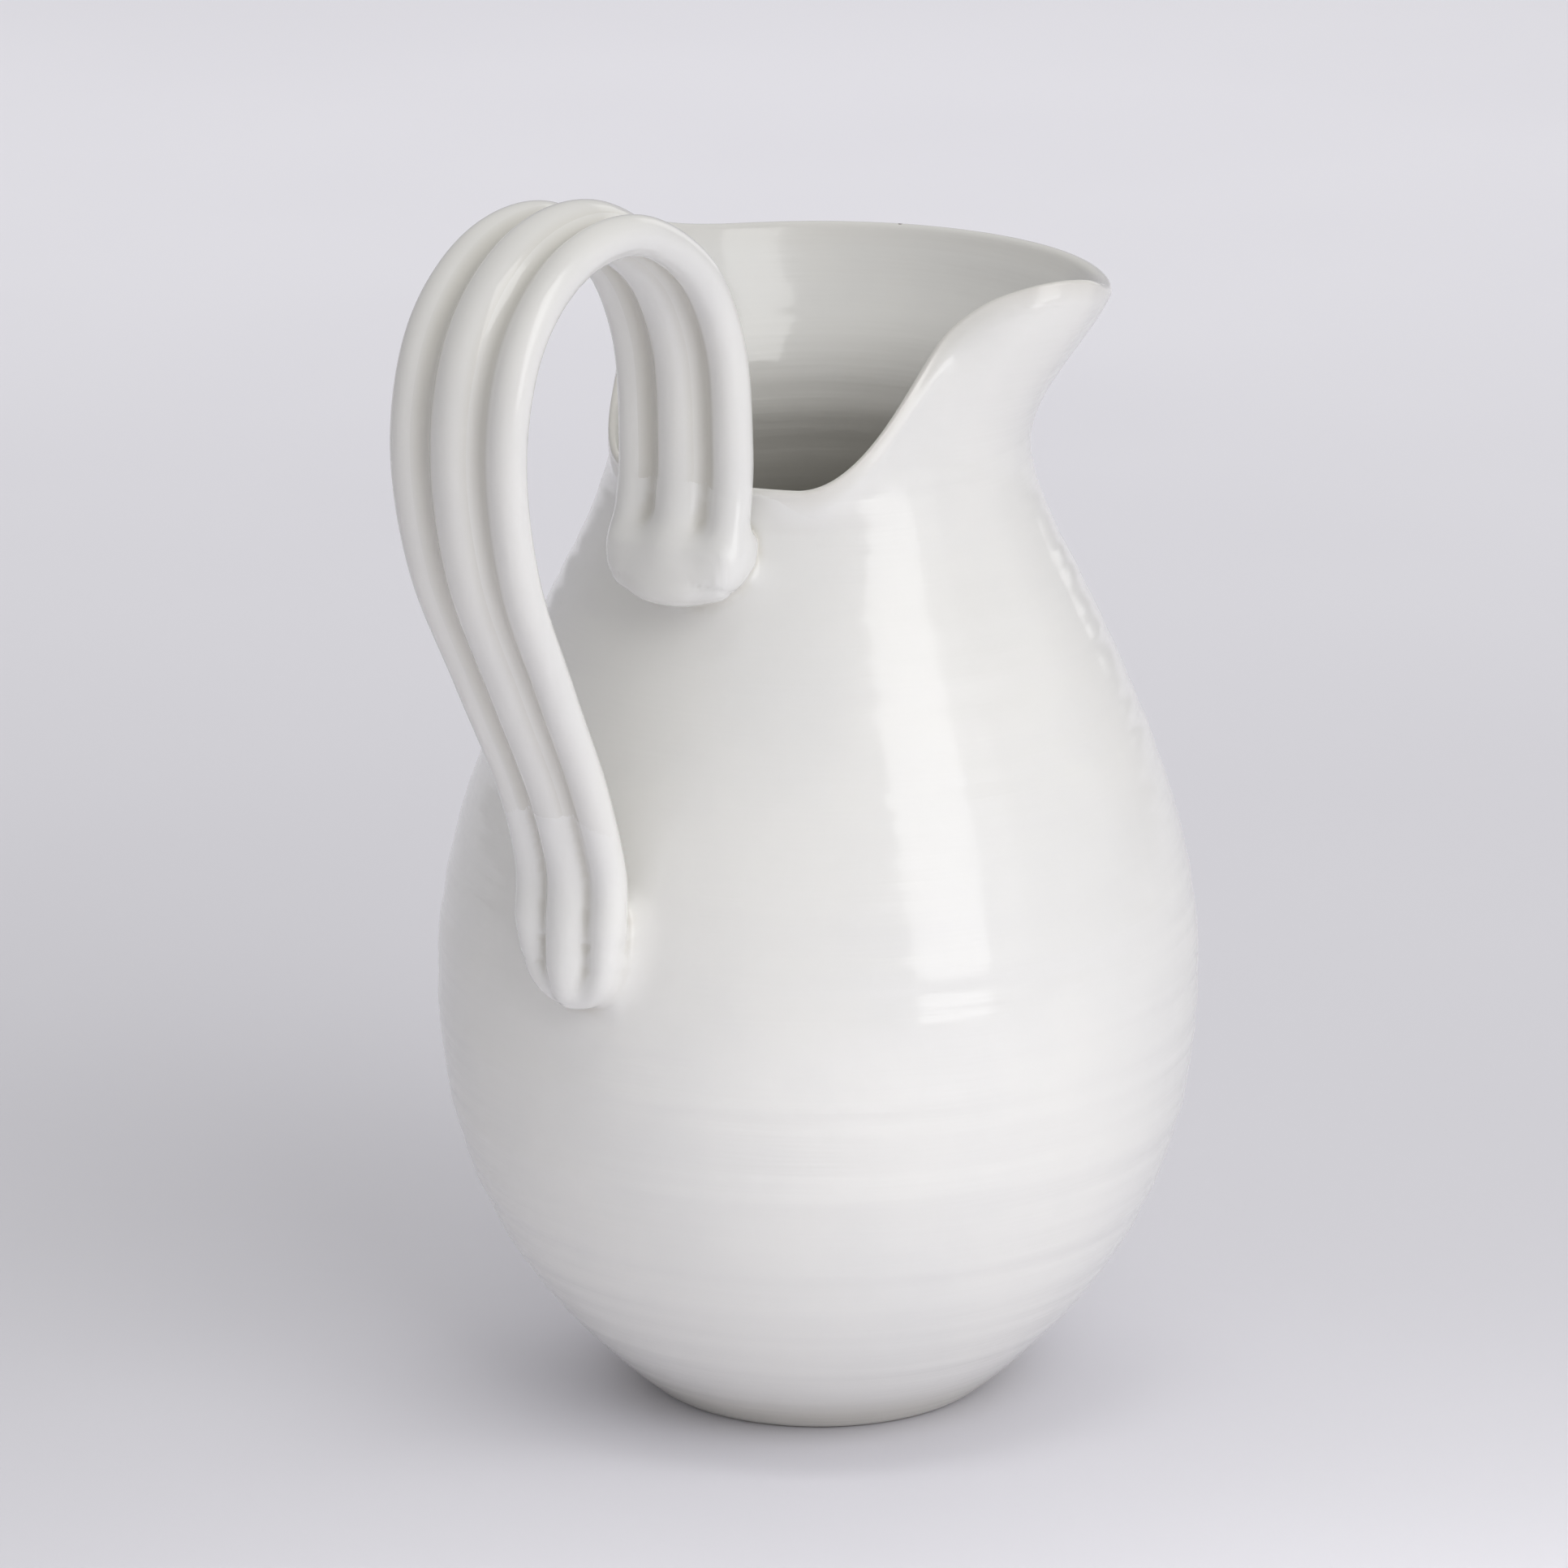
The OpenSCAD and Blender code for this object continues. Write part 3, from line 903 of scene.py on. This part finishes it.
# Deep glaze, also used as painted shade in hollows, grooves, down inside and by the foot
GLAZE_DEEP_SHADE = (0.64, 0.62, 0.565)
GLAZE_CLOUD = (0.79, 0.785, 0.768)
SPECK = (0.11, 0.085, 0.06)
BARE_CLAY = (0.66, 0.60, 0.52)
BARE_STAIN = (0.52, 0.45, 0.37)
BARE_GRIT = (0.35, 0.29, 0.23)
BACKDROP = (0.765, 0.757, 0.802)
BACKDROP_SHADE = (0.748, 0.74, 0.786)

# Pinholes and iron specks on the body: angle from the spout in degrees, then height, radius and
# depth under the outer face in millimetres; the second one is on the far side of the rim
SPECKS = [(-156, 190.5, 0.5, 0), (16.5, 243.4, 0.6, 3.2), (96, 150, 0.35, 0), (-12, 70, 0.35, 0)]


def speck_mask(tree, place):
    """1 inside each listed speck."""
    total = None
    for angle, z, size, inset in SPECKS:
        a = math.radians(angle)
        middle = around(a, wall_point(a, float(z), float(inset))) * MM
        far = add(
            tree, "ShaderNodeVectorMath", {0: place, 1: tuple(middle)}, operation="DISTANCE"
        ).outputs["Value"]
        spot = remap(tree, far, size * 0.6 * MM, size * MM, 1.0, 0.0)
        if total is None:
            total = spot
        else:
            total = add(tree, "ShaderNodeMath", {0: total, 1: spot}, operation="MAXIMUM").outputs[0]
    return total


def glaze_material(name, thrown=False):
    """Glossy warm white glaze: cloudy, thinner on edges and deeper in hollows, which also paint shade.
    """
    material, tree, shader = new_material(name)
    place = add(tree, "ShaderNodeTexCoord").outputs["Object"]
    clouds = remap(tree, noise(tree, place, 16.0, 4.0), 0.38, 0.66)
    colour = tint(tree, clouds, GLAZE, GLAZE_CLOUD)
    patches = remap(tree, noise(tree, place, 55.0, 3.0), 0.52, 0.8, 0.0, 0.5)
    colour = tint(tree, patches, colour, GLAZE_CLOUD)
    # Thin glaze where worn, and painted shade along the cut rim
    colour = tint(tree, times(tree, mark(tree, "worn_and_shade"), 0.75), colour, GLAZE_THIN_SHADE)
    # Deep glaze, and painted shade in hollows, grooves, down inside and by the foot
    colour = tint(tree, times(tree, mark(tree, "pool_and_shade"), 0.8), colour, GLAZE_DEEP_SHADE)
    if thrown:
        colour = tint(tree, speck_mask(tree, place), colour, SPECK)
    tree.links.new(colour, shader.inputs["Base Color"])
    rough = remap(tree, noise(tree, place, 42.0, 5.0), 0.3, 0.75, 0.09, 0.19)
    tree.links.new(rough, shader.inputs["Roughness"])
    normal = bumped(tree, noise(tree, place, 160.0, 2.0), 0.06, 0.0004)
    normal = bumped(tree, noise(tree, place, 34.0, 2.0), 0.10, 0.0015, normal)
    if thrown:
        # Fine throwing lines: noise that hardly changes along the round
        x, y, z = add(tree, "ShaderNodeSeparateXYZ", {0: place}).outputs
        sides = {0: times(tree, x, 0.05), 1: times(tree, y, 0.05), 2: z}
        flat = add(tree, "ShaderNodeCombineXYZ", sides).outputs[0]
        normal = bumped(tree, noise(tree, flat, 170.0, 3.0, 0.6), 0.3, 0.0008, normal)
    tree.links.new(normal, shader.inputs["Normal"])
    shader.inputs["IOR"].default_value = 1.46
    shader.inputs["Coat Weight"].default_value = 0.25
    shader.inputs["Coat Roughness"].default_value = 0.04
    return material


def bare_material():
    """Unglazed clay of the foot ring, stained and gritty."""
    material, tree, shader = new_material("bare_clay")
    place = add(tree, "ShaderNodeTexCoord").outputs["Object"]
    grit = noise(tree, place, 1400.0, 3.0, 0.7)
    stain = remap(tree, noise(tree, place, 90.0, 4.0), 0.4, 0.7)
    colour = tint(tree, stain, BARE_CLAY, BARE_STAIN)
    colour = tint(tree, remap(tree, grit, 0.55, 0.75, 0.0, 0.5), colour, BARE_GRIT)
    tree.links.new(colour, shader.inputs["Base Color"])
    tree.links.new(remap(tree, grit, 0.3, 0.7, 0.7, 0.9), shader.inputs["Roughness"])
    tree.links.new(bumped(tree, grit, 0.5, 0.0004), shader.inputs["Normal"])
    return material


def backdrop_material():
    """Matt pale paper with a faint unevenness."""
    material, tree, shader = new_material("paper")
    place = add(tree, "ShaderNodeTexCoord").outputs["Object"]
    soft = remap(tree, noise(tree, place, 3.0, 2.0), 0.3, 0.7)
    tree.links.new(tint(tree, soft, BACKDROP, BACKDROP_SHADE), shader.inputs["Base Color"])
    shader.inputs["Roughness"].default_value = 0.9
    shader.inputs["Specular IOR Level"].default_value = 0.1
    return material


# --- Studio -----------------------------------------------------------------------------

SKY = (1.0, 0.995, 0.985)
sky_strength = 0.475

# Where the camera stands round the pitcher, in degrees, and how far off, in metres
camera_azimuth = -56.0
camera_elevation = 16.4527
camera_distance = 1.575
camera_lens = 167.7
camera_target = Vector((-0.0042, 0.0062, 0.13405))


def direction(azimuth, elevation):
    a, e = math.radians(azimuth), math.radians(elevation)
    return Vector((math.sin(a) * math.cos(e), -math.cos(a) * math.cos(e), math.sin(e)))


def aim(thing, target):
    """Turns a lamp or the camera towards a point."""
    thing.rotation_mode = "QUATERNION"
    thing.rotation_quaternion = (target - thing.location).to_track_quat("-Z", "Y")


def softbox(name, azimuth, elevation, distance, size, radiance, part="both", target=None, fan=180):
    """A soft rectangular light of a width, height and brightness, at an angle and distance from
    its target, which is the middle of the pitcher unless another is given.

    Its part says whether it only lights the clay ("light"), only stands mirrored in the glaze
    ("mirror"), or does both, and fan is the angle in degrees over which it shines."""
    light = bpy.data.lights.new(name, "AREA")
    light.shape = "RECTANGLE"
    light.size, light.size_y = size
    light.spread = math.radians(fan)
    light.energy = radiance * math.pi * size[0] * size[1]
    thing = bpy.data.objects.new(name, light)
    bpy.context.scene.collection.objects.link(thing)
    middle = target or Vector((0, 0, 0.12))
    thing.location = middle + direction(azimuth, elevation) * distance
    aim(thing, middle)
    thing.visible_glossy = part != "light"
    thing.visible_diffuse = part != "mirror"
    thing.visible_camera = False


def build_backdrop():
    """A round seamless floor that turns up far off on every side."""
    flat, rings = 3.2, 6
    sweep, steps = 1.3, 14
    count = 96
    rows = [(flat * k / rings, 0.0) for k in range(1, rings + 1)]
    for k in range(1, steps + 1):
        turn = 0.5 * math.pi * k / steps
        rows.append((flat + sweep * math.sin(turn), sweep * (1 - math.cos(turn))))
    a = np.arange(count) * 2 * math.pi / count
    points = np.concatenate([around(a, np.tile(row, (count, 1))) for row in rows])
    points = np.vstack([points, [(0, 0, 0)]])
    faces = [tuple(f[::-1]) for f in grid_faces(len(rows), count).tolist()]
    faces += [(len(points) - 1, j, (j + 1) % count) for j in range(count)]
    mesh = bpy.data.meshes.new("backdrop")
    mesh.from_pydata(points.tolist(), [], faces)
    mesh.materials.append(backdrop_material())
    mesh.polygons.foreach_set("use_smooth", np.ones(len(mesh.polygons), bool))
    floor = bpy.data.objects.new("backdrop", mesh)
    bpy.context.scene.collection.objects.link(floor)


def build_studio():
    """The lights and the camera."""
    scene = bpy.context.scene
    scene.view_settings.view_transform = "Standard"
    scene.view_settings.look = "None"
    world = bpy.data.worlds.new("studio")
    world.use_nodes = True
    sky = world.node_tree.nodes["Background"]
    sky.inputs["Color"].default_value = (*SKY, 1)
    sky.inputs["Strength"].default_value = sky_strength
    scene.world = world
    # The lamp on the right throws the shadow left and back, and a weaker one fills beside it
    softbox("lamp", camera_azimuth + 36, 38, 1.9, (1.4, 1.2), 2.0, "light")
    softbox("fill", camera_azimuth + 60, 30, 1.9, (1.4, 1.2), 0.7, "light")
    # The window stands as a pale strip in the glaze, and its curtain more weakly beside it
    softbox("window", camera_azimuth + 39.5, 28.5, 1.6, (0.71, 1.96), 1.7, "mirror")
    softbox("curtain", camera_azimuth + 46.5, 28.5, 1.62, (1.13, 1.96), 0.45, "mirror")
    softbox("side", camera_azimuth + 82, 14, 1.8, (1.8, 0.7), 0.2)
    # One light low over the table, out of the picture, reaches under the belly
    foot = Vector((0, 0, 0.02))
    softbox("low_lamp", camera_azimuth + 22, 3, 0.55, (0.9, 0.08), 0.7, "light", foot, 90)
    # Another hangs over the near floor and lights it
    near_floor = direction(camera_azimuth + 22, 0) * 0.38
    softbox("near_lamp", camera_azimuth, 88, 0.9, (0.6, 0.3), 0.95, "light", near_floor, 40)
    # A light behind on the right draws the line along that edge
    softbox("edge", camera_azimuth + 148, 20, 1.5, (0.6, 0.9), 0.6, "mirror")
    # A wide light over the far floor keeps the backdrop as pale as the near floor
    far_floor = direction(camera_azimuth + 180, 0) * 1.5
    softbox("backdrop_light", camera_azimuth, 88, 1.3, (3.0, 1.0), 1.5, "light", far_floor)

    camera = bpy.data.cameras.new("camera")
    camera.lens = camera_lens
    camera.sensor_width = 36.0
    camera.clip_start, camera.clip_end = 0.05, 30.0
    stand = bpy.data.objects.new("camera", camera)
    scene.collection.objects.link(stand)
    stand.location = camera_target + direction(camera_azimuth, camera_elevation) * camera_distance
    aim(stand, camera_target)
    scene.camera = stand


# --- Everything -------------------------------------------------------------------------

glaze = glaze_material("glaze")
body_glaze = glaze_material("glaze_body", thrown=True)
slip_glaze = glaze_material("glaze_slip")

build_vessel([body_glaze, bare_material()])
build_coil("coil_middle", 0, "middle_coil", glaze)
build_coil("coil_left", 1, "left_coil", glaze)
build_coil("coil_right", -1, "right_coil", glaze)
build_seam("seam_left", 1, "left_seam", slip_glaze)
build_seam("seam_right", -1, "right_seam", slip_glaze)
build_joint("joint_upper", upper_slip, UPPER_BOX, "upper_joint", slip_glaze)
build_joint("joint_lower", lower_slip, LOWER_BOX, "lower_joint", slip_glaze)
build_backdrop()
build_studio()

bpy.context.view_layer.update()
